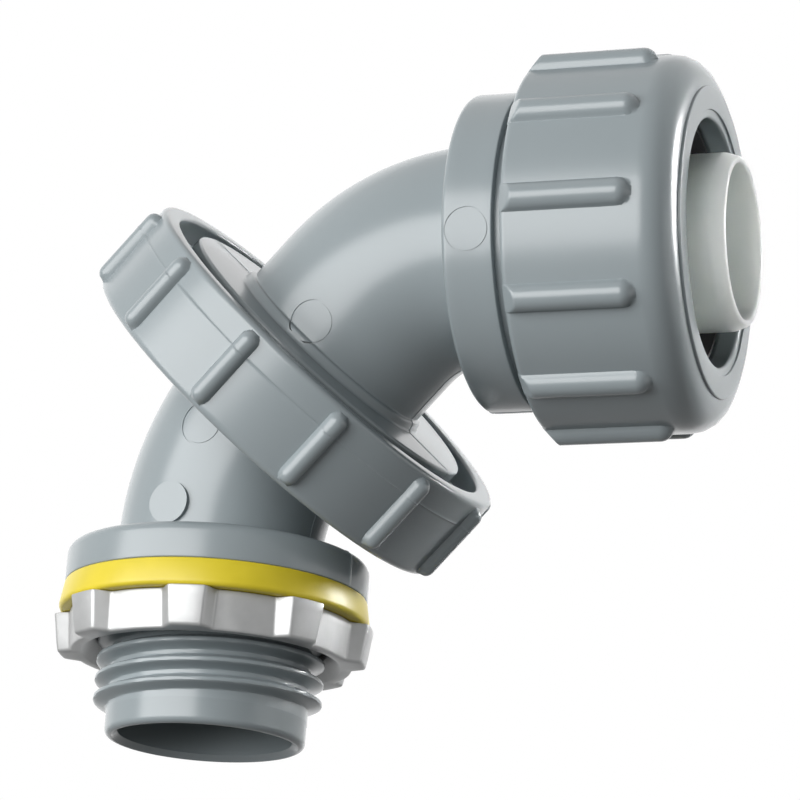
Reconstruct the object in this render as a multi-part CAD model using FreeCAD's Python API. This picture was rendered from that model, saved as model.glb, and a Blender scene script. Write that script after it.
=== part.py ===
import FreeCAD, Part
import math
import os

from FreeCAD import Placement, Rotation, Vector

# Liquidtight conduit connector for half-inch conduit, with a swivelling elbow of two 45 degree halves.
# Millimetres. Z is the hub axis and its zero is the flange face that seats on the gasket.
# The hub points down, the elbow bends towards +X, and the ejector marks of the hub half face -Y.

# Clearances
thread_gap = 0.15
face_gap = 0.05
gasket_gap = 0.05
foot_gap = 0.1
ring_gap = 0.2

# Edge roundings of the mouldings
fine_rounding = 0.15
small_rounding = 0.3

# Hub: plain end, thread and flange
bore_r = 8.15
pilot_wall = 1.2
pilot_length = 2.4
pilot_rounding = 0.6
hub_mouth_chamfer = 0.55
hub_thread_rise = 1.3
hub_thread_lead = 0.65
hub_thread_length = 11.8
flange_ledge = 3.57
flange_thickness = 3.5
flange_rounding = 0.9

# Gasket and locknut under the flange
gasket_thickness = 2.65
gasket_flare = 0.45
lug_count = 8
lug_overhang = 0.78
lug_rise = 1.5
lug_draft = 0.5
lug_flank = 0.75
lug_top_width = 3.55
lug_bottom_width = 3.05
lug_turn = 20.8
valley_draft = 0.3
locknut_height = 3.7
locknut_chamfer = 1.4

# Bends of the two half elbows, and how far the upper one is swivelled out of the plane of the lower one
half_bend = 45.0
swivel_turn = 14.5
hub_tube_wall = 1.45
hub_bend_r = 21.0
hub_neck = 0.23
conduit_tube_wall = 2.1
conduit_bend_r = 16.1
conduit_neck = 4.7

# Union: swivel flange, threaded disc, O-ring and nut
union_neck = 1.05
lip_pass_gap = 0.38
lip_bearing = 2.6
lip_thickness = 2.2
swivel_flange_thickness = 2.1
disc_thread_rise = 0.95
disc_thread_length = 2.4
disc_thickness = 4.92
tube_foot_ledge = 0.6
tube_foot_draft = 0.2
tube_foot_height = 0.85
tube_foot_rounding = 0.35
o_ring_inset = 4.15
o_ring_section_r = 0.68
o_ring_groove_width = 1.8
union_mouth_step = 1.3
union_rim_width = 2.0
union_rim_drop = 0.07
union_nut_rounding = 0.7
union_rim_rounding = 0.45
union_rib_count = 12
union_rib_r = 1.0
union_rib_inset = 0.45
union_rib_turn = 16.0

# Conduit end: collar, threaded socket, ferrule, compression ring and gland nut
conduit_r = 10.65
conduit_gap = 0.25
collar_neck = 0.11
collar_length = 4.8
collar_ledge = 0.9
collar_rounding = 0.55
socket_floor_thickness = 3.2
socket_play = 0.95
socket_wall = 2.4
spigot_length = 9.75
ferrule_step = 0.1
ferrule_wall = 1.05
ferrule_reach = 2.45
ferrule_foot_ledge = 1.1
ferrule_foot_thickness = 1.3
ferrule_nose_length = 1.3
ferrule_nose_taper = 0.45
ring_step = 1.5
ring_slope = 4.0
gland_back_gap = 1.4
gland_wall = 3.3
gland_mouth_play = 0.8
gland_mouth_depth = 2.06
gland_mouth_ledge = 0.8
gland_mouth_step = 0.2
gland_shoulder = 3.0
gland_face_step = 0.25
gland_back_rounding = 0.5
gland_rib_count = 12
gland_rib_r = 1.3
gland_rib_sink = 0.2
gland_rib_inset = 0.25
gland_rib_slope = 1.0
gland_rib_front = 0.55
gland_rib_turn = 22.75

# Ejector marks, round pads left by the mould on one side, and the taller flat one at the foot of the hub elbow
mark_r = 2.0
mark_proud = 0.05
flat_mark_proud = 0.3
hub_mark_rise = 2.9
hub_mark_turn = 29.0
foot_mark_rise = 1.43
collar_mark_inset = 2.45

# Radii that follow from the sizes above
pilot_r = bore_r + pilot_wall
hub_thread_r = pilot_r + hub_thread_rise
flange_r = hub_thread_r + flange_ledge
lug_top_r = flange_r + lug_overhang
valley_top_r = lug_top_r - lug_rise
hub_tube_r = bore_r + hub_tube_wall
conduit_tube_r = bore_r + conduit_tube_wall
tube_foot_r = conduit_tube_r + tube_foot_ledge
o_ring_r = bore_r + o_ring_inset
union_lip_r = flange_r + lip_pass_gap
swivel_flange_r = union_lip_r + lip_bearing
disc_thread_r = swivel_flange_r + thread_gap
disc_rim_r = disc_thread_r - disc_thread_rise
union_bore_r = disc_thread_r + thread_gap
union_mouth_r = union_bore_r + union_mouth_step
union_nut_r = union_mouth_r + union_rim_width
socket_r = conduit_r + socket_play
spigot_thread_r = socket_r + socket_wall
collar_r = spigot_thread_r + collar_ledge
ferrule_r = bore_r + ferrule_step
ferrule_foot_r = ferrule_r + ferrule_foot_ledge
gland_bore_r = spigot_thread_r + thread_gap
gland_r = gland_bore_r + gland_wall
gland_mouth_r = conduit_r + gland_mouth_play


def bend_reach(bend_r):
    """Distance from the vertex of a half elbow to either end of its arc."""
    return bend_r * math.tan(math.radians(half_bend) / 2)


# Heights along the hub axis, and along the union axis from the hub vertex
hub_end = -(hub_thread_length + pilot_length)
hub_vertex = flange_thickness + hub_neck + bend_reach(hub_bend_r)
union_face = bend_reach(hub_bend_r) + union_neck
swivel_flange_base = union_face - swivel_flange_thickness
union_nut_base = swivel_flange_base - face_gap - lip_thickness
disc_base = union_face + face_gap
disc_top = disc_base + disc_thickness
tube_foot_top = disc_top + tube_foot_height
union_nut_top = disc_top - union_rim_drop
conduit_vertex = tube_foot_top + conduit_neck + bend_reach(conduit_bend_r)

# Places along the conduit axis, from the conduit vertex
collar_start = bend_reach(conduit_bend_r) + collar_neck
collar_end = collar_start + collar_length
socket_floor = collar_start + socket_floor_thickness
ferrule_seat = socket_floor - ferrule_foot_thickness
spigot_end = collar_end + spigot_length
gland_start = collar_end + gland_back_gap
gland_thread_end = spigot_end + ring_step
gland_wall_end = gland_thread_end + ring_slope
gland_end = gland_wall_end + gland_mouth_depth
ferrule_end = gland_end + ferrule_reach


def bend_place(vertex_height):
    """Frame at a vertex on Z, with its own Z along the outgoing half of the elbow."""
    return Placement(Vector(0, 0, vertex_height), Rotation(Vector(0, 1, 0), half_bend))


union_place = bend_place(hub_vertex)
swivel_place = union_place.multiply(Placement(Vector(0, 0, 0), Rotation(Vector(0, 0, 1), swivel_turn)))
conduit_place = swivel_place.multiply(bend_place(conduit_vertex))


def placed(shape, placement):
    """Copy of a shape, moved from its own frame to another."""
    moved = shape.copy()
    moved.Placement = placement.multiply(moved.Placement)
    return moved


def turned(corners):
    """Solid of revolution about Z from a closed outline of (radius, height, rounding) corners."""
    points = [Vector(radius, 0, height) for radius, height, rounding in corners]
    stretches = []
    for index, corner in enumerate(corners):
        here = points[index]
        rounding = corner[2]
        back = (points[index - 1] - here).normalize()
        ahead = (points[(index + 1) % len(points)] - here).normalize()
        half = back.getAngle(ahead) / 2
        reach = rounding / math.tan(half)
        inward = (back + ahead).normalize() * (rounding / math.sin(half) - rounding)
        stretches.append((here + back * reach, here + inward, here + ahead * reach, rounding))
    edges = []
    for index, (start, middle, end, rounding) in enumerate(stretches):
        last_end = stretches[index - 1][2]
        if not last_end.isEqual(start, 1e-6):
            edges.append(Part.LineSegment(last_end, start).toShape())
        if rounding > 0:
            edges.append(Part.Arc(start, middle, end).toShape())
    outline = Part.Face(Part.Wire(edges))
    return outline.revolve(Vector(0, 0, 0), Vector(0, 0, 1), 360)


def rod(radius, start, end):
    """Round bar along Z between two heights."""
    return Part.makeCylinder(radius, end - start, Vector(0, 0, start))


def bent_rod(radius, bend_r, vertex, start, beyond):
    """Round bar along Z that turns towards +X about its vertex and runs on past it."""
    arc_start = vertex - bend_reach(bend_r)
    inlet = rod(radius, start, arc_start)
    rim = Part.Circle(Vector(0, 0, arc_start), Vector(0, 0, 1), radius)
    section = Part.Face(Part.Wire(rim.toShape()))
    arc = section.revolve(Vector(bend_r, 0, arc_start), Vector(0, 1, 0), half_bend)
    outlet = placed(rod(radius, bend_reach(bend_r), beyond), bend_place(vertex))
    return inlet.fuse([arc, outlet])


def ejector_mark(wall, wall_r, x, z):
    """Round pad on the -Y side, cut from a copy of the wall that stands a little proud of it."""
    return Part.makeCylinder(mark_r, 2 * wall_r, Vector(x, 0, z), Vector(0, -1, 0)).common(wall)


def grip_rib(radius, centre_r, low, high):
    """Half-round grip rib along Z on a round wall, with a ball centred at either end."""
    foot = Vector(centre_r, 0, low)
    head = Vector(centre_r, 0, high)
    bar = Part.makeCylinder(radius, high - low, foot)
    return bar.fuse([Part.makeSphere(radius, foot), Part.makeSphere(radius, head)])


def around(shape, count, first_turn):
    """Equally spaced copies of a shape about Z."""
    copies = []
    for index in range(count):
        copy = shape.copy()
        copy.rotate(Vector(0, 0, 0), Vector(0, 0, 1), first_turn + index * 360.0 / count)
        copies.append(copy)
    return copies


def make_hub_elbow():
    """Hub, flange, lower half elbow and swivel flange, moulded in one piece."""
    hub = turned([
        (0, hub_end, 0),
        (pilot_r, hub_end, pilot_rounding),
        (pilot_r, -hub_thread_length, 0),
        (hub_thread_r, -hub_thread_length + hub_thread_lead, 0),
        (hub_thread_r, 0, 0),
        (flange_r, 0, 0),
        (flange_r, flange_thickness, flange_rounding),
        (0, flange_thickness, 0),
    ])
    tube = bent_rod(hub_tube_r, hub_bend_r, hub_vertex, 0, union_face)
    swivel_flange = rod(swivel_flange_r, swivel_flange_base, union_face)
    groove_floor = union_face - face_gap - 2 * o_ring_section_r
    groove_r = o_ring_r + o_ring_groove_width / 2
    groove = rod(groove_r, groove_floor, union_face)
    groove = groove.cut(rod(groove_r - o_ring_groove_width, groove_floor, union_face))
    swivel_flange = placed(swivel_flange.cut(groove), union_place)
    turn = math.radians(hub_mark_turn)
    arc_start = hub_vertex - bend_reach(hub_bend_r)
    upper_x = hub_bend_r * (1 - math.cos(turn))
    upper_z = arc_start + hub_bend_r * math.sin(turn)
    wall_r = hub_tube_r + mark_proud
    wall = bent_rod(wall_r, hub_bend_r, hub_vertex, 0, union_face)
    lower_centre = Vector(0, 0, flange_thickness + hub_mark_rise)
    lower_mark = Part.makeCylinder(mark_r, hub_tube_r + flat_mark_proud, lower_centre, Vector(0, -1, 0))
    upper_mark = ejector_mark(wall, wall_r, upper_x, upper_z)
    body = hub.fuse([tube, swivel_flange, lower_mark, upper_mark])
    way = bent_rod(bore_r, hub_bend_r, hub_vertex, hub_end, union_face)
    mouth = Part.makeCone(bore_r + hub_mouth_chamfer, bore_r, hub_mouth_chamfer, Vector(0, 0, hub_end))
    return body.cut([way, mouth]).removeSplitter()


def make_sealing_gasket():
    """Soft washer on the hub thread, flared a little at its lower edge."""
    inner_r = hub_thread_r + gasket_gap
    return turned([
        (inner_r, -gasket_thickness, 0),
        (flange_r + gasket_flare, -gasket_thickness, small_rounding),
        (flange_r, 0, 0),
        (inner_r, 0, 0),
    ])


def make_locknut():
    """Cast ring with tapered lugs and a chamfered, threaded bore."""
    top = -gasket_thickness - face_gap
    bottom = top - locknut_height
    lug_bottom_r = lug_top_r - lug_draft
    body = Part.makeCone(valley_top_r - valley_draft, valley_top_r, locknut_height, Vector(0, 0, bottom))
    envelope = turned([
        (0, bottom, 0),
        (lug_bottom_r, bottom, small_rounding),
        (lug_top_r, top, fine_rounding),
        (0, top, 0),
    ])
    inner_r = lug_top_r - 2 * lug_rise
    outer_r = lug_top_r + lug_rise
    outlines = []
    for width, height in ((lug_bottom_width, bottom), (lug_top_width, top)):
        root = width / 2 + 2 * lug_flank
        tip = width / 2 - lug_flank
        corners = [Vector(inner_r, -root, height), Vector(outer_r, -tip, height)]
        corners += [Vector(outer_r, tip, height), Vector(inner_r, root, height)]
        outlines.append(Part.makePolygon(corners + corners[:1]))
    lug = Part.makeLoft(outlines, True, True).common(envelope)
    body = body.fuse(around(lug, lug_count, lug_turn))
    bore = hub_thread_r + thread_gap
    hole = turned([
        (0, bottom, 0),
        (bore + locknut_chamfer, bottom, 0),
        (bore, bottom + locknut_chamfer, 0),
        (bore, top, 0),
        (0, top, 0),
    ])
    return body.cut(hole).removeSplitter()


def make_union_nut():
    """Ribbed nut: a lip under the swivel flange, a thread for the disc and an open mouth."""
    lip_top = union_nut_base + lip_thickness
    mouth_floor = disc_base + disc_thread_length + thread_gap
    body = turned([
        (union_lip_r, union_nut_base, 0),
        (union_nut_r, union_nut_base, union_nut_rounding),
        (union_nut_r, union_nut_top, union_rim_rounding),
        (union_mouth_r, union_nut_top, small_rounding),
        (union_mouth_r, mouth_floor, 0),
        (union_bore_r, mouth_floor, 0),
        (union_bore_r, lip_top, 0),
        (union_lip_r, lip_top, 0),
    ])
    rib_inset = union_rib_inset + union_rib_r
    rib = grip_rib(union_rib_r, union_nut_r, union_nut_base + rib_inset, union_nut_top - rib_inset)
    nut = body.fuse(around(rib, union_rib_count, union_rib_turn))
    return placed(nut.removeSplitter(), union_place)


def make_union_o_ring():
    """Rubber ring in the groove of the swivel flange."""
    centre = union_face - face_gap - o_ring_section_r
    return placed(Part.makeTorus(o_ring_r, o_ring_section_r, Vector(0, 0, centre)), union_place)


def make_conduit_elbow():
    """Threaded disc, upper half elbow, collar and threaded socket, moulded in one piece."""
    disc = turned([
        (0, disc_base, 0),
        (disc_thread_r, disc_base, 0),
        (disc_thread_r, disc_base + disc_thread_length, 0),
        (disc_rim_r, disc_base + disc_thread_length, 0),
        (disc_rim_r, disc_top, small_rounding),
        (tube_foot_r, disc_top, 0),
        (tube_foot_r - tube_foot_draft, tube_foot_top, tube_foot_rounding),
        (0, tube_foot_top, 0),
    ])
    tube = bent_rod(conduit_tube_r, conduit_bend_r, conduit_vertex, disc_base, collar_end)
    collar = turned([
        (0, collar_start, 0),
        (collar_r, collar_start, collar_rounding),
        (collar_r, collar_end, fine_rounding),
        (spigot_thread_r, collar_end, 0),
        (spigot_thread_r, spigot_end, 0),
        (0, spigot_end, 0),
    ])
    conduit_frame = bend_place(conduit_vertex)
    collar_wall_r = collar_r + mark_proud
    collar_wall = rod(collar_wall_r, collar_start, collar_end)
    collar_mark = ejector_mark(collar_wall, collar_wall_r, 0, collar_start + collar_mark_inset)
    foot_wall_r = conduit_tube_r + mark_proud
    foot_wall = rod(foot_wall_r, disc_base, conduit_vertex)
    foot_mark = ejector_mark(foot_wall, foot_wall_r, 0, tube_foot_top + foot_mark_rise)
    body = disc.fuse([tube, foot_mark, placed(collar.fuse(collar_mark), conduit_frame)])
    way = bent_rod(bore_r, conduit_bend_r, conduit_vertex, disc_base, ferrule_seat)
    seat = rod(ferrule_foot_r + foot_gap, ferrule_seat, socket_floor)
    socket = seat.fuse(rod(socket_r, socket_floor, spigot_end))
    return placed(body.cut([way, placed(socket, conduit_frame)]).removeSplitter(), swivel_place)


def make_ferrule():
    """Thin tube that the conduit slides over, with a tapered nose and a foot in the socket's floor."""
    ferrule_bore_r = ferrule_r - ferrule_wall
    ferrule = turned([
        (ferrule_bore_r, ferrule_seat, 0),
        (ferrule_foot_r, ferrule_seat, 0),
        (ferrule_foot_r, socket_floor, 0),
        (ferrule_r, socket_floor, 0),
        (ferrule_r, ferrule_end - ferrule_nose_length, 0),
        (ferrule_r - ferrule_nose_taper, ferrule_end, small_rounding),
        (ferrule_bore_r, ferrule_end, 0),
    ])
    return placed(ferrule, conduit_place)


def make_compression_ring():
    """Tapered ring on the socket's end, pressed on the conduit by the gland nut's sloping wall."""
    ring_bore_r = conduit_r + conduit_gap
    front = gland_wall_end - ring_gap
    ring = turned([
        (ring_bore_r, spigot_end, 0),
        (gland_bore_r - ring_gap, spigot_end, 0),
        (gland_bore_r - ring_gap, gland_thread_end - ring_gap, 0),
        (gland_mouth_r - ring_gap, front, 0),
        (ring_bore_r, front, 0),
    ])
    return placed(ring, conduit_place)


def make_gland_nut():
    """Ribbed compression nut with a rounded front, a stepped mouth and a thread that ends in a slope."""
    face_base = gland_end - gland_face_step
    face_r = gland_r - gland_shoulder
    body = turned([
        (gland_bore_r, gland_start, 0),
        (gland_r, gland_start, gland_back_rounding),
        (gland_r, face_base, gland_shoulder),
        (face_r, face_base, 0),
        (face_r, gland_end, fine_rounding),
        (gland_mouth_r + gland_mouth_ledge, gland_end, 0),
        (gland_mouth_r + gland_mouth_ledge, gland_end - gland_mouth_step, 0),
        (gland_mouth_r, gland_end - gland_mouth_step, small_rounding),
        (gland_mouth_r, gland_wall_end, 0),
        (gland_bore_r, gland_thread_end, 0),
    ])
    rib_start = gland_start + gland_rib_inset
    rib_end = face_base - gland_shoulder - gland_rib_front
    rib_height = gland_rib_r - gland_rib_sink
    envelope = turned([
        (gland_bore_r, rib_start, 0),
        (gland_r, rib_start, 0),
        (gland_r + 2 * rib_height, rib_start + 2 * gland_rib_slope, 0),
        (gland_r + 2 * rib_height, gland_end, 0),
        (gland_bore_r, gland_end, 0),
    ])
    rib = grip_rib(gland_rib_r, gland_r - gland_rib_sink, rib_start, rib_end - gland_rib_r)
    nut = body.fuse(around(rib.common(envelope), gland_rib_count, gland_rib_turn))
    return placed(nut.removeSplitter(), conduit_place)


PIECES = {
    "hub_elbow": make_hub_elbow,
    "sealing_gasket": make_sealing_gasket,
    "locknut": make_locknut,
    "union_nut": make_union_nut,
    "union_o_ring": make_union_o_ring,
    "conduit_elbow": make_conduit_elbow,
    "ferrule": make_ferrule,
    "compression_ring": make_compression_ring,
    "gland_nut": make_gland_nut,
}

os.makedirs("parts", exist_ok=True)
for name, make in PIECES.items():
    shape = make()
    shape.exportStep("parts/" + name + ".step")
    print(name, shape.isValid(), len(shape.Solids), round(shape.Volume, 2))
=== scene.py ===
from math import asin, cos, floor, pi, radians, sin, sqrt, tan

import bmesh
import bpy
from mathutils import Matrix, Vector


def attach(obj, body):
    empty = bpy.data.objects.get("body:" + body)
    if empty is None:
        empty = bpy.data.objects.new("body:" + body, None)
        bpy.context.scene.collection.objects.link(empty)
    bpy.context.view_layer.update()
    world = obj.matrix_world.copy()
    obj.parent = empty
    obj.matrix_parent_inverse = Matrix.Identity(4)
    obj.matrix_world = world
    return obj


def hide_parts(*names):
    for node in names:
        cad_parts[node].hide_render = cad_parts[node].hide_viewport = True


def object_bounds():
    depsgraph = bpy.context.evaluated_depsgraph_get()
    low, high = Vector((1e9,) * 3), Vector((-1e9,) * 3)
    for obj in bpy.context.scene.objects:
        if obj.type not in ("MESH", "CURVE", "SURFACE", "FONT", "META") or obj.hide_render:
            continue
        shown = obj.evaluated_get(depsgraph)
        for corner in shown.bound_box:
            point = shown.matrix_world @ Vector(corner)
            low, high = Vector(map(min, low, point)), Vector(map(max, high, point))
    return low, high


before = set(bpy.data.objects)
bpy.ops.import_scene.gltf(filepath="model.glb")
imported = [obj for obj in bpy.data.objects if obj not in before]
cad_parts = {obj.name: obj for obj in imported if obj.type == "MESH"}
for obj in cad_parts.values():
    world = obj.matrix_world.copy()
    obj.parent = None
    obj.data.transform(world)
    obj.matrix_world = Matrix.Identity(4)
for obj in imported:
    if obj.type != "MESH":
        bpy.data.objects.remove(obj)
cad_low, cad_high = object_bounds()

# Hub elbow: the lower moulding of grey PVC, with a threaded hub, a flange, a 45 degree half elbow and the
# round flange that the union nut holds. Moulded in two halves, so a fine parting line runs round it in the
# plane of the bend, and round ejector marks show on its side. Sizes here and below are in millimetres.
MILLIMETRE = 0.001
HALF_BEND = radians(45)

hub_bore_r = 8.15
hub_bore_rows = 46
hub_bore_lift = 0.3
hub_mouth_chamfer = 0.55
hub_mouth_rounding = 0.08
hub_end_r = 9.35
hub_end = -14.2
hub_end_rounding = 0.6
thread_start = -11.9
thread_runout = 0.2
thread_root_r = 9.4
thread_crest_r = 10.65
thread_pitch = 1.85
thread_crest_width = 0.3
thread_flank_width = 0.58
thread_softness = 0.5
thread_lead_turns = 0.3
thread_fade_turns = 0.2
thread_row_step = 0.08
flange_r = 14.22
flange_thickness = 3.5
flange_rounding = 0.9
flange_edge = 0.15
hub_tube_r = 9.6
hub_tube_foot = 1.0
hub_tube_overlap = 2.2
hub_tube_rows = 28
hub_bend_r = 21.0
hub_neck = 0.23
union_neck = 1.05
swivel_flange_r = 17.2
swivel_flange_thickness = 2.1
o_ring_groove = (13.2, 11.4, 1.41)
small_rounding = 0.3
moulding_steps = 192
parting_ridge = 0.05
parting_half_angle = radians(0.35)
mark_r = 2.0
mark_groove = 0.14
mark_depth = 0.08
mark_cutter_height = 0.5
mark_steps = 72
flat_mark_proud = 0.3
flat_mark_length = 1.5
flat_mark_steps = 96
hub_mark_rise = 2.9
hub_mark_turn = radians(29)
pvc_dark = (0.237, 0.272, 0.285)
pvc_pale = (0.253, 0.290, 0.304)

hub_reach = hub_bend_r * tan(HALF_BEND / 2)
hub_arc_start = flange_thickness + hub_neck
hub_vertex = hub_arc_start + hub_reach
union_face = hub_reach + union_neck
union_frame = Matrix.Translation((0, 0, hub_vertex)) @ Matrix.Rotation(HALF_BEND, 4, "Y")


def rounded_outline(corners, arc_steps=5):
    """Points of a closed outline of (radius, height, rounding) corners, with an arc at each rounding."""
    points = []
    for index, (radius, height, rounding) in enumerate(corners):
        here = Vector((radius, height))
        if rounding == 0:
            points.append((radius, height))
            continue
        back = (Vector(corners[index - 1][:2]) - here).normalized()
        ahead = (Vector(corners[(index + 1) % len(corners)][:2]) - here).normalized()
        half = back.angle(ahead) / 2
        centre = here + (back + ahead).normalized() * (rounding / sin(half))
        start = here + back * (rounding / tan(half)) - centre
        end = here + ahead * (rounding / tan(half)) - centre
        sweep = start.angle_signed(end)
        for step in range(arc_steps + 1):
            turn = -sweep * step / arc_steps
            x = start.x * cos(turn) - start.y * sin(turn)
            y = start.x * sin(turn) + start.y * cos(turn)
            points.append((centre.x + x, centre.y + y))
    return points


def outline_normals(rows):
    """Outward direction of a closed outline at each of its points, as (radial, axial)."""
    normals = []
    for index in range(len(rows)):
        before = Vector(rows[index - 1])
        after = Vector(rows[(index + 1) % len(rows)])
        run = (after - before).normalized()
        normals.append((run.y, -run.x))
    return normals


def even_angles(count):
    """Angles round a circle, equally spaced."""
    return [2 * pi * index / count for index in range(count)]


def parted_angles(count, half_width):
    """Angles round a circle, with three close together at each end of the X axis for a parting line."""
    angles = []
    for side in (0.0, pi):
        angles += [side, side + half_width]
        for index in range(1, count // 2):
            angles.append(side + 2 * pi * index / count)
        angles.append(side + pi - half_width)
    return angles


def round_ring(place, radius, height, angles):
    """Ring of points of one radius about the Z axis of a frame."""
    return [place @ Vector((radius * cos(angle), radius * sin(angle), height)) for angle in angles]


def linked_piece(name, data):
    """New object in the scene for a mesh, a camera or a lamp."""
    piece = bpy.data.objects.new(name, data)
    bpy.context.scene.collection.objects.link(piece)
    return piece


def closed_skin(name, rings):
    """Closed mesh object through rings of points, each joined to the next and the last to the first."""
    around = len(rings[0])
    points = [point for ring in rings for point in ring]
    faces = []
    for row in range(len(rings)):
        low = row * around
        high = (row + 1) % len(rings) * around
        for index in range(around):
            beside = (index + 1) % around
            faces.append((low + index, low + beside, high + beside, high + index))
    mesh = bpy.data.meshes.new(name)
    mesh.from_pydata(points, [], faces)
    return linked_piece(name, mesh)


def worked(piece, tools, operation):
    """Cuts solids out of a piece, or joins them to it."""
    for tool in tools:
        step = piece.modifiers.new("step", "BOOLEAN")
        step.operation = operation
        step.solver = "EXACT"
        step.object = tool
    result = bpy.data.meshes.new_from_object(piece.evaluated_get(bpy.context.evaluated_depsgraph_get()))
    piece.modifiers.clear()
    piece.data = result
    for tool in tools:
        bpy.data.objects.remove(tool)


def flat_mark(x, z, wall_r):
    """Round bar that stands out of a wall on the -Y side, flat at its end."""
    middle_y = flat_mark_length / 2 - wall_r - flat_mark_proud
    bar = bmesh.new()
    bmesh.ops.create_cone(
        bar, cap_ends=True, segments=flat_mark_steps, radius1=mark_r, radius2=mark_r, depth=flat_mark_length,
        matrix=Matrix.Translation((x, middle_y, z)) @ Matrix.Rotation(pi / 2, 4, "X"))
    mesh = bpy.data.meshes.new("flat_mark")
    bar.to_mesh(mesh)
    bar.free()
    return linked_piece("flat_mark", mesh)


def mark_cutter(frame_matrix, x, z, wall_r, off_axis):
    """Ring that sinks an ejector mark's outline into a round wall, on the -Y side of its frame."""
    inner_r = mark_r - mark_groove / 2
    outer_r = mark_r + mark_groove / 2
    out = -mark_cutter_height
    rings = []
    for reach, depth in ((inner_r, mark_depth), (outer_r, mark_depth), (outer_r, out), (inner_r, out)):
        ring = []
        for angle in even_angles(mark_steps):
            spot_x = x + reach * cos(angle)
            spot_z = z + reach * sin(angle)
            wall = sqrt(wall_r ** 2 - off_axis(spot_x, spot_z) ** 2)
            ring.append(frame_matrix @ Vector((spot_x, depth - wall, spot_z)))
        rings.append(ring)
    return closed_skin("mark_cutter", rings)


def hub_off_axis(x, z):
    """Distance from the centre line of the hub elbow's bend, seen from its side."""
    return sqrt((x - hub_bend_r) ** 2 + (z - hub_arc_start) ** 2) - hub_bend_r


def finished(piece, body, node, material, crease=35):
    """Brings a piece from millimetres to metres, smooths it, gives it its finish and body, and hides the CAD
    node that it stands for.
    """
    piece.data.transform(Matrix.Scale(MILLIMETRE, 4))
    piece.data.shade_smooth()
    piece.data.set_sharp_from_angle(angle=radians(crease))
    piece.data.materials.clear()
    piece.data.materials.append(material)
    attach(piece, body)
    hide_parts(node)


def bent_place(start_frame, height, arc_start, bend_r):
    """Frame of a half elbow's section, at a distance along its centre line."""
    if height <= arc_start:
        return start_frame @ Matrix.Translation((0, 0, height))
    turn = min((height - arc_start) / bend_r, HALF_BEND)
    past = height - arc_start - turn * bend_r
    centre = Vector((bend_r * (1 - cos(turn)), 0, arc_start + bend_r * sin(turn)))
    arc_frame = start_frame @ Matrix.Translation(centre) @ Matrix.Rotation(turn, 4, "Y")
    return arc_frame @ Matrix.Translation((0, 0, past))


def hub_place(height):
    """Frame of the hub elbow's section at a distance along its centre line from the gasket seat."""
    return bent_place(Matrix.Identity(4), height, hub_arc_start, hub_bend_r)


def held(value):
    """A value held between zero and one."""
    return min(max(value, 0.0), 1.0)


def hub_thread_r(angle, height):
    """Radius of the right-hand hub thread, which rises from the plain end behind the hub."""
    turns = (height - thread_start) / thread_pitch - angle / (2 * pi)
    crest = floor(turns + 0.5)
    fade = held((crest + angle / (2 * pi) - thread_lead_turns) / thread_fade_turns)
    off_crest = abs(turns - crest) * thread_pitch - thread_crest_width / 2
    rise = 1 - held(off_crest / thread_flank_width)
    soft_rise = rise * rise * (3 - 2 * rise)
    rise = (1 - thread_softness) * rise + thread_softness * soft_rise
    return thread_root_r + (thread_crest_r - thread_root_r) * rise * fade


def fresh_material(name):
    """New material, with its node tree and its shader."""
    material = bpy.data.materials.new(name)
    material.use_nodes = True
    return material, material.node_tree, material.node_tree.nodes["Principled BSDF"]


def noise_field(tree, scale, detail):
    """Noise that is fixed to the piece, with about so many grains to the metre."""
    place = tree.nodes.new("ShaderNodeTexCoord")
    noise = tree.nodes.new("ShaderNodeTexNoise")
    noise.inputs["Scale"].default_value = scale
    noise.inputs["Detail"].default_value = detail
    tree.links.new(place.outputs["Object"], noise.inputs["Vector"])
    return noise.outputs["Fac"]


def tinted(tree, shader, noise, dark, pale, low, high):
    """Base colour that goes from a dark tint to a pale one as a noise goes from a low level to a high one."""
    tint = tree.nodes.new("ShaderNodeValToRGB")
    dark_end, pale_end = tint.color_ramp.elements
    dark_end.position = low
    dark_end.color = (*dark, 1)
    pale_end.position = high
    pale_end.color = (*pale, 1)
    tree.links.new(noise, tint.inputs["Fac"])
    tree.links.new(tint.outputs["Color"], shader.inputs["Base Color"])


def sheened(tree, shader, noise, smooth, rough):
    """Roughness that goes with a noise between two values."""
    sheen = tree.nodes.new("ShaderNodeMapRange")
    sheen.inputs["To Min"].default_value = smooth
    sheen.inputs["To Max"].default_value = rough
    tree.links.new(noise, sheen.inputs["Value"])
    tree.links.new(sheen.outputs["Result"], shader.inputs["Roughness"])


def grained(tree, shader, noise, strength, depth):
    """Fine relief that follows a noise, with its depth in metres."""
    bump = tree.nodes.new("ShaderNodeBump")
    bump.inputs["Strength"].default_value = strength
    bump.inputs["Distance"].default_value = depth
    tree.links.new(noise, bump.inputs["Height"])
    tree.links.new(bump.outputs["Normal"], shader.inputs["Normal"])


def grey_pvc():
    """Satin grey PVC with faint flow clouds and the fine grain of the mould."""
    material, tree, shader = fresh_material("grey_pvc")
    grain = noise_field(tree, scale=2600.0, detail=2.0)
    clouds = noise_field(tree, scale=90.0, detail=3.0)
    tinted(tree, shader, clouds, pvc_dark, pvc_pale, low=0.1, high=0.9)
    sheened(tree, shader, clouds, smooth=0.24, rough=0.27)
    grained(tree, shader, grain, strength=0.03, depth=0.00003)
    shader.inputs["Specular IOR Level"].default_value = 0.6
    return material


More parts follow.
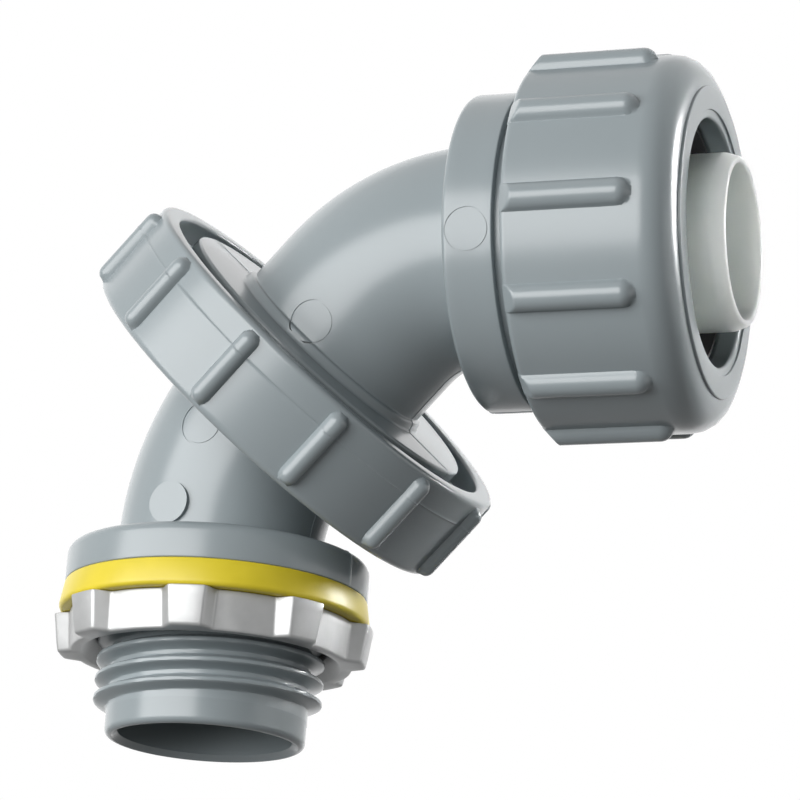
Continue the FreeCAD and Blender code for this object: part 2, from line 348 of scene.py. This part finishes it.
def hub_rows():
    """Outside of the hub elbow as (radius, height, ridge) rows. The thread's rows have no one radius."""
    thread_foot = thread_start - thread_runout
    end = rounded_outline([
        (hub_bore_r, hub_end + hub_mouth_chamfer, 0),
        (hub_bore_r + hub_mouth_chamfer, hub_end, hub_mouth_rounding),
        (hub_end_r, hub_end, hub_end_rounding),
        (hub_end_r, thread_foot, 0),
        (hub_bore_r, thread_foot, 0),
    ])
    rows = [(radius, height, 0) for radius, height in end[:-1]]
    for step in range(int(-thread_start / thread_row_step)):
        rows.append((None, thread_start + step * thread_row_step, 0))
    tube_start = flange_thickness + hub_tube_foot
    shoulder = rounded_outline([
        (thread_root_r, 0, 0),
        (flange_r, 0, flange_edge),
        (flange_r, flange_thickness, flange_rounding),
        (hub_tube_r, flange_thickness, flange_edge),
        (hub_tube_r, tube_start, 0),
        (thread_root_r, tube_start, 0),
    ])
    rows += [(radius, height, parting_ridge) for radius, height in shoulder[:-1]]
    tube_end = hub_arc_start + hub_bend_r * HALF_BEND - hub_tube_overlap
    for step in range(1, hub_tube_rows + 1):
        height = tube_start + (tube_end - tube_start) * step / hub_tube_rows
        rows.append((hub_tube_r, height, parting_ridge))
    return rows


def hub_rings():
    """Rings of the hub elbow from its end up to the union face and back down inside."""
    angles = parted_angles(moulding_steps, parting_half_angle)
    rows = hub_rows()
    outline = [(hub_tube_r if radius is None else radius, height) for radius, height, ridge in rows]
    rings = []
    for (radius, height, ridge), (radial, axial) in zip(rows, outline_normals(outline)):
        place = hub_place(height)
        ring = []
        for angle in angles:
            proud = ridge if angle in (0.0, pi) else 0.0
            wall_r = hub_thread_r(angle, height) if radius is None else radius
            reach = wall_r + proud * radial
            ring.append(place @ Vector((reach * cos(angle), reach * sin(angle), proud * axial)))
        rings.append(ring)
    flange_base = union_face - swivel_flange_thickness
    groove_outer_r, groove_inner_r, groove_depth = o_ring_groove
    collar = rounded_outline([
        (hub_tube_r, flange_base, 0),
        (swivel_flange_r, flange_base, small_rounding),
        (swivel_flange_r, union_face, small_rounding),
        (groove_outer_r, union_face, 0),
        (groove_outer_r, union_face - groove_depth, 0),
        (groove_inner_r, union_face - groove_depth, 0),
        (groove_inner_r, union_face, 0),
        (hub_bore_r, union_face, small_rounding),
        (hub_bore_r, flange_base, 0),
    ])
    rings += [round_ring(union_frame, radius, height, angles) for radius, height in collar[:-1]]
    bore_top = hub_arc_start + hub_bend_r * HALF_BEND
    bore_foot = hub_end + hub_mouth_chamfer + hub_bore_lift
    for step in range(hub_bore_rows + 1):
        height = bore_top + (bore_foot - bore_top) * step / hub_bore_rows
        rings.append(round_ring(hub_place(height), hub_bore_r, 0, angles))
    return rings


pvc = grey_pvc()
hub_elbow = closed_skin("hub_elbow_moulding", hub_rings())
upper_mark_x = hub_bend_r * (1 - cos(hub_mark_turn))
upper_mark_z = hub_arc_start + hub_bend_r * sin(hub_mark_turn)
upper_mark = mark_cutter(Matrix.Identity(4), upper_mark_x, upper_mark_z, hub_tube_r, hub_off_axis)
worked(hub_elbow, [upper_mark], "DIFFERENCE")
worked(hub_elbow, [flat_mark(0, flange_thickness + hub_mark_rise, hub_tube_r)], "UNION")
finished(hub_elbow, "hub_half", "hub_elbow", pvc)

# Sealing gasket: a soft yellow washer pushed up the hub thread against the flange. It is squeezed a little
# wider at its lower edge, and its edges are rounded by the mould.
gasket_top_r = 14.22
gasket_low_r = 14.67
gasket_thickness = 2.65
gasket_bore_r = 10.7
gasket_low_rounding = 0.45
gasket_top_rounding = 0.2
gasket_bore_rounding = 0.1
gasket_steps = 160
seal_dark = (0.61, 0.49, 0.018)
seal_pale = (0.67, 0.54, 0.026)


def with_rows(points, longest, slant=0.1):
    """The same closed outline, with more points wherever it runs nearly straight along the axis."""
    rows = []
    for index, (radius, height) in enumerate(points):
        next_radius, next_height = points[(index + 1) % len(points)]
        rows.append((radius, height))
        rise = next_height - height
        if abs(next_radius - radius) < slant * abs(rise):
            extra = int(abs(rise) / longest)
            for step in range(1, extra + 1):
                part = step / (extra + 1)
                rows.append((radius + (next_radius - radius) * part, height + rise * part))
    return rows


def turned_piece(name, corners, place, angles, longest=100.0):
    """Solid turned from an outline of (radius, height, rounding) corners about the Z axis of its frame."""
    rows = with_rows(rounded_outline(corners), longest)
    return closed_skin(name, [round_ring(place, radius, height, angles) for radius, height in rows])


def yellow_seal():
    """Soft yellow sealing rubber, with a faint mottle."""
    material, tree, shader = fresh_material("yellow_seal")
    mottle = noise_field(tree, scale=260.0, detail=4.0)
    tinted(tree, shader, mottle, seal_dark, seal_pale, low=0.3, high=0.7)
    grained(tree, shader, mottle, strength=0.1, depth=0.00008)
    shader.inputs["Roughness"].default_value = 0.36
    return material


gasket = turned_piece("gasket_washer", [
    (gasket_bore_r, -gasket_thickness, gasket_bore_rounding),
    (gasket_low_r, -gasket_thickness, gasket_low_rounding),
    (gasket_top_r, 0, gasket_top_rounding),
    (gasket_bore_r, 0, gasket_bore_rounding),
], Matrix.Identity(4), even_angles(gasket_steps))
finished(gasket, "hub_half", "sealing_gasket", yellow_seal())

# Locknut: a die-cast zinc ring that screws up the hub thread, with eight tapered lugs for a screwdriver or
# pliers and a chamfer at the mouth of its thread.
locknut_top = -2.7
locknut_height = 3.7
locknut_bore_r = 10.8
locknut_bore_edge = 0.1
locknut_chamfer = 1.4
locknut_mouth_edge = 0.05
locknut_low_edge = ((0.3, 0.0), (0.15, 0.04), (0.04, 0.15), (0.0, 0.3))
locknut_top_edge = ((0.0, 0.15), (0.04, 0.04), (0.15, 0.0))
lug_count = 8
lug_first = radians(20.8)
lug_top_r = 15.0
lug_low_r = 14.5
valley_top_r = 13.5
valley_low_r = 13.2
valley_steps = 6
lug_top_width = 3.55
lug_low_width = 3.05
lug_flank = 0.75
lug_rounding = 0.2
lug_ease_across = 0.06
lug_ease_in = 0.02
zinc_dark = (0.39, 0.395, 0.395)
zinc_pale = (0.45, 0.455, 0.455)


def cast_zinc():
    """Die-cast zinc with cloudy reflections, dulled a little by its cast skin."""
    material, tree, shader = fresh_material("cast_zinc")
    clouds = noise_field(tree, scale=420.0, detail=5.0)
    tinted(tree, shader, clouds, zinc_dark, zinc_pale, low=0.3, high=0.7)
    sheened(tree, shader, clouds, smooth=0.37, rough=0.47)
    grained(tree, shader, clouds, strength=0.12, depth=0.0001)
    shader.inputs["Metallic"].default_value = 0.6
    return material


def lug_ring(part, inset, height):
    """One ring of the locknut's outside, part of the way up: slanted lugs with soft corners, and valleys."""
    outer_r = lug_low_r + (lug_top_r - lug_low_r) * part - inset
    valley_r = valley_low_r + (valley_top_r - valley_low_r) * part - inset / 2
    half = (lug_low_width + (lug_top_width - lug_low_width) * part) / 2 - inset / 2
    slope = lug_flank / (outer_r - valley_r)
    foot = half + lug_flank
    side = [
        (half - lug_rounding, outer_r),
        (half - lug_ease_across, outer_r - lug_ease_in),
        (half + slope * lug_rounding, outer_r - lug_rounding),
        (foot - slope * lug_rounding, valley_r + lug_rounding),
        (foot + lug_ease_across, valley_r + lug_ease_in),
        (foot + lug_rounding, valley_r),
    ]
    outline = [(-across, radius) for across, radius in reversed(side)]
    outline += [(across * (half - lug_rounding), outer_r) for across in (-0.5, 0.0, 0.5)]
    outline += side
    pitch = 2 * pi / lug_count
    valley_start = (foot + lug_rounding) / valley_r
    valley = pitch - 2 * valley_start
    turns = [(across / radius, radius) for across, radius in outline]
    turns += [(valley_start + valley * step / valley_steps, valley_r) for step in range(1, valley_steps)]
    ring = []
    for lug in range(lug_count):
        middle = lug_first + lug * pitch
        for turn, radius in turns:
            ring.append(Vector((radius * cos(middle + turn), radius * sin(middle + turn), height)))
    return ring


def locknut_rings():
    """Rings of the locknut, up the outside and down the bore."""
    bottom = locknut_top - locknut_height
    rings = [lug_ring(0.0, inset, bottom + lift) for inset, lift in locknut_low_edge]
    rings += [lug_ring(part, 0.0, bottom + locknut_height * part) for part in (0.25, 0.5, 0.75)]
    rings += [lug_ring(1.0, inset, locknut_top - drop) for inset, drop in locknut_top_edge]
    directions = [Vector((point.x, point.y, 0)).normalized() for point in rings[0]]
    mouth_r = locknut_bore_r + locknut_chamfer
    bore = [
        (locknut_bore_r + locknut_bore_edge, locknut_top),
        (locknut_bore_r, locknut_top - locknut_bore_edge),
        (locknut_bore_r, bottom + locknut_chamfer),
        (mouth_r - locknut_mouth_edge, bottom + locknut_mouth_edge),
        (mouth_r + locknut_mouth_edge, bottom),
    ]
    for radius, height in bore:
        rings.append([direction * radius + Vector((0, 0, height)) for direction in directions])
    return rings


locknut = closed_skin("zinc_locknut", locknut_rings())
finished(locknut, "locknut", "locknut", cast_zinc(), crease=40)

# Union nut: a large ring of grey PVC with rounded grip ribs. Its lip holds the lower half's flange from
# below and its thread takes the disc of the upper half, so the two halves are clamped face to face.
face_gap = 0.05
disc_height = 4.92
union_lip_r = 14.6
union_lip_thickness = 2.2
union_nut_base = union_face - swivel_flange_thickness - face_gap - union_lip_thickness
union_rim_drop = 0.07
union_nut_top = union_face + face_gap + disc_height - union_rim_drop
union_bore_r = 17.5
union_mouth_r = 18.8
union_mouth_rise = 2.55
union_mouth_floor = union_face + face_gap + union_mouth_rise
union_nut_r = 20.8
union_draft = 0.06
union_seam_drop = 2.7
union_seam = union_nut_top - union_seam_drop
union_seam_half_width = 0.1
union_nut_rounding = 0.7
union_rim_rounding = 0.5
union_rib_count = 12
union_rib_r = 1.0
union_rib_first = radians(16)
union_rib_inset = 0.45
rib_cover = 1.06
rib_row_step = 0.16


def ribbed_angles(count, first, rib_half_width, wall_r, across=18, apart=6):
    """Angles round a ribbed wall, close together over each rib and wider apart between."""
    rib_half_angle = asin(rib_cover * rib_half_width / wall_r)
    pitch = 2 * pi / count
    flat = pitch - 2 * rib_half_angle
    angles = []
    for rib in range(count):
        middle = first + rib * pitch
        angles += [middle - rib_half_angle * cos(pi * step / across) for step in range(across + 1)]
        angles += [middle + rib_half_angle + flat * step / apart for step in range(1, apart)]
    return angles


def rib_reach(angle, height, count, first, rib_r, centre_r, low, high):
    """Radius of the nearest half-round rib at a place on the wall, or zero beside the ribs."""
    pitch = 2 * pi / count
    off = (angle - first + pitch / 2) % pitch - pitch / 2
    end = max(low - height, height - high, 0.0)
    side = centre_r * sin(off)
    room = rib_r * rib_r - side * side - end * end
    if room <= 0:
        return 0.0
    return centre_r * cos(off) + sqrt(room)


def ribbed_skin(name, corners, place, angles, wall_low_r, reach, seam=None):
    """Turned piece whose outer wall carries ribs, with a fine ridge round both where the mould parted."""
    rings = []
    for radius, height in with_rows(rounded_outline(corners), rib_row_step):
        proud = parting_ridge if height == seam else 0.0
        ring = []
        for angle in angles:
            wall_r = max(radius, reach(angle, height)) + proud if radius > wall_low_r else radius
            ring.append(place @ Vector((wall_r * cos(angle), wall_r * sin(angle), height)))
        rings.append(ring)
    return closed_skin(name, rings)


def union_rib(angle, height):
    """Radius of the union nut's ribs, which leave room for the seam's ridge below their full height."""
    low = union_nut_base + union_rib_inset + union_rib_r
    high = union_nut_top - union_rib_inset - union_rib_r
    rib_r = union_rib_r - parting_ridge
    return rib_reach(angle, height, union_rib_count, union_rib_first, rib_r, union_nut_r, low, high)


union_angles = ribbed_angles(union_rib_count, union_rib_first, union_rib_r, union_nut_r)
union_nut = ribbed_skin("union_nut_ring", [
    (union_lip_r, union_nut_base, small_rounding),
    (union_nut_r - union_draft, union_nut_base, union_nut_rounding),
    (union_nut_r, union_seam - union_seam_half_width, 0),
    (union_nut_r, union_seam, 0),
    (union_nut_r, union_seam + union_seam_half_width, 0),
    (union_nut_r - union_draft, union_nut_top, union_rim_rounding),
    (union_mouth_r, union_nut_top, small_rounding),
    (union_mouth_r, union_mouth_floor, 0),
    (union_bore_r, union_mouth_floor, 0),
    (union_bore_r, union_nut_base + union_lip_thickness, 0),
    (union_lip_r, union_nut_base + union_lip_thickness, 0),
], union_frame, union_angles, union_nut_r - union_nut_rounding, union_rib, union_seam)
finished(union_nut, "union_nut", "union_nut", pvc)

# Conduit elbow: the upper moulding of grey PVC. A disc that screws into the union nut, a half elbow with a
# thicker foot, a collar, and a threaded socket inside the gland nut. Its parting line shows on the disc.
swivel_turn = radians(14.5)
disc_base = union_face + face_gap
disc_thread_r = 17.35
disc_thread_length = 2.4
disc_rim_r = 16.4
disc_step_rounding = 0.1
disc_top = disc_base + disc_height
tube_foot_r = 10.85
tube_foot_draft = 0.2
tube_foot_height = 0.85
tube_foot_top = disc_top + tube_foot_height
tube_foot_step = 0.1
conduit_tube_r = 10.25
conduit_bend_r = 16.1
conduit_neck = 4.7
conduit_row_step = 0.75
conduit_rounding = 0.2
conduit_edge = 0.15
collar_r = 14.9
collar_neck = 0.11
collar_length = 4.8
collar_rounding = 0.55
spigot_r = 14.0
spigot_length = 9.75
socket_r = 11.6
socket_floor_thickness = 3.2
ferrule_seat_r = 9.45
ferrule_foot_thickness = 1.3
ridge_margin = 0.5
collar_mark_inset = 2.45
foot_mark_rise = 1.43

conduit_reach = conduit_bend_r * tan(HALF_BEND / 2)
conduit_arc_start = tube_foot_top + conduit_neck
conduit_vertex = conduit_arc_start + conduit_reach
swivel_frame = union_frame @ Matrix.Rotation(swivel_turn, 4, "Z")
bend_frame = Matrix.Translation((0, 0, conduit_vertex)) @ Matrix.Rotation(HALF_BEND, 4, "Y")
conduit_frame = swivel_frame @ bend_frame
collar_start = conduit_reach + collar_neck
collar_end = collar_start + collar_length
spigot_end = collar_end + spigot_length
socket_floor = collar_start + socket_floor_thickness
ferrule_seat = socket_floor - ferrule_foot_thickness


def straight_off_axis(x, z):
    """Distance from the centre line of a straight tube, seen from its side."""
    return x


def conduit_rings():
    """Rings of the conduit elbow from its disc to the spigot's end and back inside."""
    angles = parted_angles(moulding_steps, parting_half_angle)
    past_arc = conduit_arc_start + conduit_bend_r * HALF_BEND - conduit_reach
    outline = rounded_outline([
        (hub_bore_r, disc_base, conduit_rounding),
        (disc_thread_r, disc_base, small_rounding),
        (disc_thread_r, disc_base + disc_thread_length, small_rounding),
        (disc_rim_r, disc_base + disc_thread_length, disc_step_rounding),
        (disc_rim_r, disc_top, small_rounding),
        (tube_foot_r, disc_top, small_rounding),
        (tube_foot_r - tube_foot_draft, tube_foot_top, small_rounding),
        (conduit_tube_r, tube_foot_top + tube_foot_step, conduit_edge),
        (conduit_tube_r, past_arc + collar_start, conduit_rounding),
        (collar_r, past_arc + collar_start, collar_rounding),
        (collar_r, past_arc + collar_end, conduit_edge),
        (spigot_r, past_arc + collar_end, 0),
        (spigot_r, past_arc + spigot_end, small_rounding),
        (socket_r, past_arc + spigot_end, conduit_edge),
        (socket_r, past_arc + socket_floor, 0),
        (ferrule_seat_r, past_arc + socket_floor, 0),
        (ferrule_seat_r, past_arc + ferrule_seat, 0),
        (hub_bore_r, past_arc + ferrule_seat, conduit_rounding),
    ])
    rows = with_rows(outline, conduit_row_step)
    rings = []
    for (radius, height), (radial, axial) in zip(rows, outline_normals(rows)):
        place = bent_place(swivel_frame, height, conduit_arc_start, conduit_bend_r)
        ridge = parting_ridge if radius > hub_bore_r + ridge_margin else 0.0
        ring = []
        for angle in angles:
            proud = ridge if angle in (0.0, pi) else 0.0
            reach = radius + proud * radial
            ring.append(place @ Vector((reach * cos(angle), reach * sin(angle), proud * axial)))
        rings.append(ring)
    return rings


conduit_elbow = closed_skin("conduit_elbow_moulding", conduit_rings())
worked(conduit_elbow, [
    mark_cutter(swivel_frame, 0, tube_foot_top + foot_mark_rise, conduit_tube_r, straight_off_axis),
    mark_cutter(conduit_frame, 0, collar_start + collar_mark_inset, collar_r, straight_off_axis),
], "DIFFERENCE")
finished(conduit_elbow, "conduit_half", "conduit_elbow", pvc)

# Ferrule: a thin tube of natural nylon that lets light through. Its foot stands in the socket's floor, and
# its nose is tapered outside, so that the conduit slides over it. It stands out past the gland nut's front.
ferrule_r = 8.25
ferrule_wall = 1.05
ferrule_foot_r = 9.35
ferrule_foot_rounding = 0.2
ferrule_foot_edge = 0.1
ferrule_nose_length = 1.3
ferrule_nose_taper = 0.45
ferrule_nose_rounding = 1.5
ferrule_lip_rounding = 0.3
ferrule_bore_rounding = 0.2
ferrule_reach = 2.45
ferrule_steps = 144
ferrule_row_step = 1.0
gland_thread_past = 1.5
gland_cone_length = 4.0
gland_front_thickness = 2.06
gland_end = spigot_end + gland_thread_past + gland_cone_length + gland_front_thickness
ferrule_end = gland_end + ferrule_reach
nylon_dark = (0.74, 0.79, 0.77)
nylon_pale = (0.81, 0.85, 0.83)


def natural_nylon():
    """Milky natural nylon: light scatters inside it, and its skin has a soft gloss."""
    material, tree, shader = fresh_material("natural_nylon")
    haze = noise_field(tree, scale=180.0, detail=2.0)
    tinted(tree, shader, haze, nylon_dark, nylon_pale, low=0.3, high=0.7)
    shader.inputs["Roughness"].default_value = 0.3
    shader.inputs["Subsurface Weight"].default_value = 1.0
    shader.inputs["Subsurface Scale"].default_value = 0.003
    shader.inputs["Subsurface Radius"].default_value = (1.0, 1.0, 0.95)
    return material


ferrule = turned_piece("nylon_ferrule", [
    (ferrule_r - ferrule_wall, ferrule_seat, 0),
    (ferrule_foot_r, ferrule_seat, ferrule_foot_edge),
    (ferrule_foot_r, socket_floor, ferrule_foot_rounding),
    (ferrule_r, socket_floor, 0),
    (ferrule_r, ferrule_end - ferrule_nose_length, ferrule_nose_rounding),
    (ferrule_r - ferrule_nose_taper, ferrule_end, ferrule_lip_rounding),
    (ferrule_r - ferrule_wall, ferrule_end, ferrule_bore_rounding),
], conduit_frame, even_angles(ferrule_steps), ferrule_row_step)
finished(ferrule, "conduit_half", "ferrule", natural_nylon())

# Gland nut: a deep ring of grey PVC with long grip ribs, sloped off at the back and round at the front. It
# screws on the socket and presses the compression ring on the conduit.
gland_gap = 1.4
gland_start = collar_end + gland_gap
gland_bore_r = 14.15
gland_r = 17.45
gland_back_rounding = 0.5
gland_shoulder = 3.0
gland_shoulder_step = 0.02
gland_face_step = 0.25
gland_face_rounding = 0.12
gland_mouth_r = 11.45
gland_mouth_ledge = 0.8
gland_mouth_step = 0.2
gland_ledge_rounding = 0.06
gland_ledge_fillet = 0.05
gland_wall_end = gland_end - gland_front_thickness
gland_thread_end = gland_wall_end - gland_cone_length
gland_ribbed_depth = 0.8
gland_rib_count = 12
gland_rib_r = 1.3
gland_rib_sink = 0.2
gland_rib_first = radians(22.75)
gland_rib_back_inset = 0.25
gland_rib_front_inset = 0.55
gland_rib_back = gland_start + gland_rib_back_inset
gland_rib_slope = 1.0
gland_rib_front = gland_end - gland_face_step - gland_shoulder - gland_rib_front_inset


def gland_rib(angle, height):
    """Radius of the gland nut's ribs: sloped off at the back, round at the front."""
    high = gland_rib_front - gland_rib_r
    centre_r = gland_r - gland_rib_sink
    reach = rib_reach(
        angle, height, gland_rib_count, gland_rib_first, gland_rib_r, centre_r, gland_start, high)
    slope_r = gland_r + (height - gland_rib_back) * (gland_rib_r - gland_rib_sink) / gland_rib_slope
    return min(reach, slope_r)


gland_rib_half = sqrt(gland_rib_r ** 2 - gland_rib_sink ** 2)
gland_angles = ribbed_angles(gland_rib_count, gland_rib_first, gland_rib_half, gland_r)
gland_face_r = gland_r - gland_shoulder - gland_shoulder_step
gland_ledge_r = gland_mouth_r + gland_mouth_ledge
gland_nut = ribbed_skin("gland_nut_ring", [
    (gland_bore_r, gland_start, small_rounding),
    (gland_r, gland_start, gland_back_rounding),
    (gland_r, gland_end - gland_face_step, gland_shoulder),
    (gland_face_r, gland_end - gland_face_step, 0),
    (gland_face_r, gland_end, gland_face_rounding),
    (gland_ledge_r, gland_end, gland_ledge_rounding),
    (gland_ledge_r, gland_end - gland_mouth_step, gland_ledge_fillet),
    (gland_mouth_r, gland_end - gland_mouth_step, small_rounding),
    (gland_mouth_r, gland_wall_end, 0),
    (gland_bore_r, gland_thread_end, 0),
], conduit_frame, gland_angles, gland_r - gland_ribbed_depth, gland_rib)
finished(gland_nut, "gland_nut", "gland_nut", pvc)

# Inner seals: the O-ring between the swivel faces and the tapered compression ring round the conduit. Both
# are black rubber, and both keep the shape that the solids have.
rubber_dark = (0.012, 0.012, 0.012)
rubber_pale = (0.03, 0.03, 0.03)


def black_rubber():
    """Matte black rubber with a dusty bloom."""
    material, tree, shader = fresh_material("black_rubber")
    bloom = noise_field(tree, scale=600.0, detail=2.0)
    tinted(tree, shader, bloom, rubber_dark, rubber_pale, low=0.0, high=1.0)
    shader.inputs["Roughness"].default_value = 0.7
    return material


rubber = black_rubber()
for seal in ("union_o_ring", "compression_ring"):
    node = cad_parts[seal]
    node.data.materials.clear()
    node.data.materials.append(rubber)

# Camera: the photograph's view, from a little below and to the right of the bend's plane, far enough away
# to be nearly without perspective.
view_turn = radians(28.82)
view_rise = radians(-16.43)
view_roll = radians(3.95)
view_distance = 369.29
view_target = Vector((20, 0, 18))
target_right = 1.61
target_up = 0.449
focal_pixels = 3975.8
image_pixels = 800
sensor = 36.0
near_metres = 0.01

back = Vector((sin(view_turn) * cos(view_rise), -cos(view_turn) * cos(view_rise), sin(view_rise)))
level_right = Vector((cos(view_turn), sin(view_turn), 0))
level_up = back.cross(level_right)
right = level_right * cos(view_roll) + level_up * sin(view_roll)
up = level_up * cos(view_roll) - level_right * sin(view_roll)
eye = view_target + back * view_distance - right * target_right - up * target_up
camera_data = bpy.data.cameras.new("camera")
camera_data.sensor_width = sensor
camera_data.lens = focal_pixels * sensor / image_pixels
camera_data.clip_start = near_metres
camera_turn = Matrix((right, up, back)).transposed().to_4x4()
camera_object = linked_piece("camera", camera_data)
camera_object.matrix_world = Matrix.Translation(eye * MILLIMETRE) @ camera_turn
bpy.context.scene.camera = camera_object
bpy.context.scene.view_settings.view_transform = "Standard"

# Studio: a pale floor below the part, which hangs in the air as it does on its box, soft lamps, and a white
# room that the camera and the glossy surfaces see. Reflections of the room are dimmer on the camera's side,
# which gives the plastic its darker faces. Lengths here are in metres and powers in watts.
floor_z = -0.13
floor_half = 0.9
floor_seen = 0.2
floor_lit = 0.12
floor_glow = 0.4
room_dim = 0.6
room_dim_at = -0.5
room_bright_at = 0.3
room_lit = 0.06


def either_of(tree, first, second):
    """The greater of two values."""
    greater = tree.nodes.new("ShaderNodeMath")
    greater.operation = "MAXIMUM"
    tree.links.new(first, greater.inputs[0])
    tree.links.new(second, greater.inputs[1])
    return greater.outputs["Value"]


def seen_or_lit(tree, seen_value, lit_value):
    """Value that is one thing to the camera, gloss and glass, and another to light between surfaces."""
    path = tree.nodes.new("ShaderNodeLightPath")
    seen = either_of(tree, path.outputs["Is Camera Ray"], path.outputs["Is Glossy Ray"])
    any_seen = either_of(tree, seen, path.outputs["Is Transmission Ray"])
    chosen = tree.nodes.new("ShaderNodeMapRange")
    chosen.inputs["To Min"].default_value = lit_value
    chosen.inputs["To Max"].default_value = seen_value
    tree.links.new(any_seen, chosen.inputs["Value"])
    return chosen.outputs["Result"]


def pale_floor():
    """Matte floor that looks pale from every side, keeps the shadow, and throws little light back up."""
    material, tree, shader = fresh_material("pale_floor")
    tree.links.new(seen_or_lit(tree, floor_seen, floor_lit), shader.inputs["Base Color"])
    tree.links.new(seen_or_lit(tree, floor_glow, 0.0), shader.inputs["Emission Strength"])
    shader.inputs["Roughness"].default_value = 0.9
    return material


def white_room():
    """World that is white to the camera, dimmer towards the camera's side in gloss, and lights little."""
    world = bpy.data.worlds.new("studio")
    world.use_nodes = True
    tree = world.node_tree
    direction = tree.nodes.new("ShaderNodeTexCoord")
    away = tree.nodes.new("ShaderNodeVectorMath")
    away.operation = "DOT_PRODUCT"
    away.inputs[1].default_value = -back
    tree.links.new(direction.outputs["Generated"], away.inputs[0])
    room = tree.nodes.new("ShaderNodeMapRange")
    room.inputs["From Min"].default_value = room_dim_at
    room.inputs["From Max"].default_value = room_bright_at
    room.inputs["To Min"].default_value = room_dim
    room.inputs["To Max"].default_value = 1.0
    tree.links.new(away.outputs["Value"], room.inputs["Value"])
    path = tree.nodes.new("ShaderNodeLightPath")
    shown = either_of(tree, path.outputs["Is Camera Ray"], room.outputs["Result"])
    sky = tree.nodes["Background"]
    tree.links.new(shown, sky.inputs["Color"])
    tree.links.new(seen_or_lit(tree, 1.0, room_lit), sky.inputs["Strength"])
    return world


def soft_lamp(name, place, aim, width, height, power, spread=180):
    """Area lamp at a place, turned to a point, that may be held to a narrow beam."""
    lamp = bpy.data.lights.new(name, "AREA")
    lamp.shape = "RECTANGLE"
    lamp.size = width
    lamp.size_y = height
    lamp.energy = power
    lamp.spread = radians(spread)
    lamp_object = linked_piece(name, lamp)
    lamp_object.location = place
    lamp_object.rotation_euler = (aim - place).to_track_quat("-Z", "Y").to_euler()


floor_mesh = bpy.data.meshes.new("floor")
floor_corners = [(x * floor_half, y * floor_half, floor_z) for x, y in ((-1, -1), (1, -1), (1, 1), (-1, 1))]
floor_mesh.from_pydata(floor_corners, [], [(0, 1, 2, 3)])
floor_mesh.materials.append(pale_floor())
floor_object = linked_piece("floor", floor_mesh)
bpy.context.scene.world = white_room()

middle = (cad_low + cad_high) / 2
gland_face = conduit_frame @ Vector((0, 0, gland_end)) * MILLIMETRE
key_place = middle - right * 0.345 + up * 0.155 + back * 0.327
right_place = middle + right * 0.483 + back * 0.129
back_place = middle - back * 0.5 - right * 0.1
gland_place = gland_face + right * 0.25 + up * 0.06 - back * 0.12
soft_lamp("key", key_place, middle, width=0.66, height=0.42, power=4.6)
soft_lamp("back_fill", back_place, middle, width=0.8, height=0.8, power=0.9)
soft_lamp("right_fill", right_place, middle, width=0.3, height=0.3, power=0.2)
soft_lamp("gland_fill", gland_place, gland_face, width=0.10, height=0.10, power=0.03, spread=24)
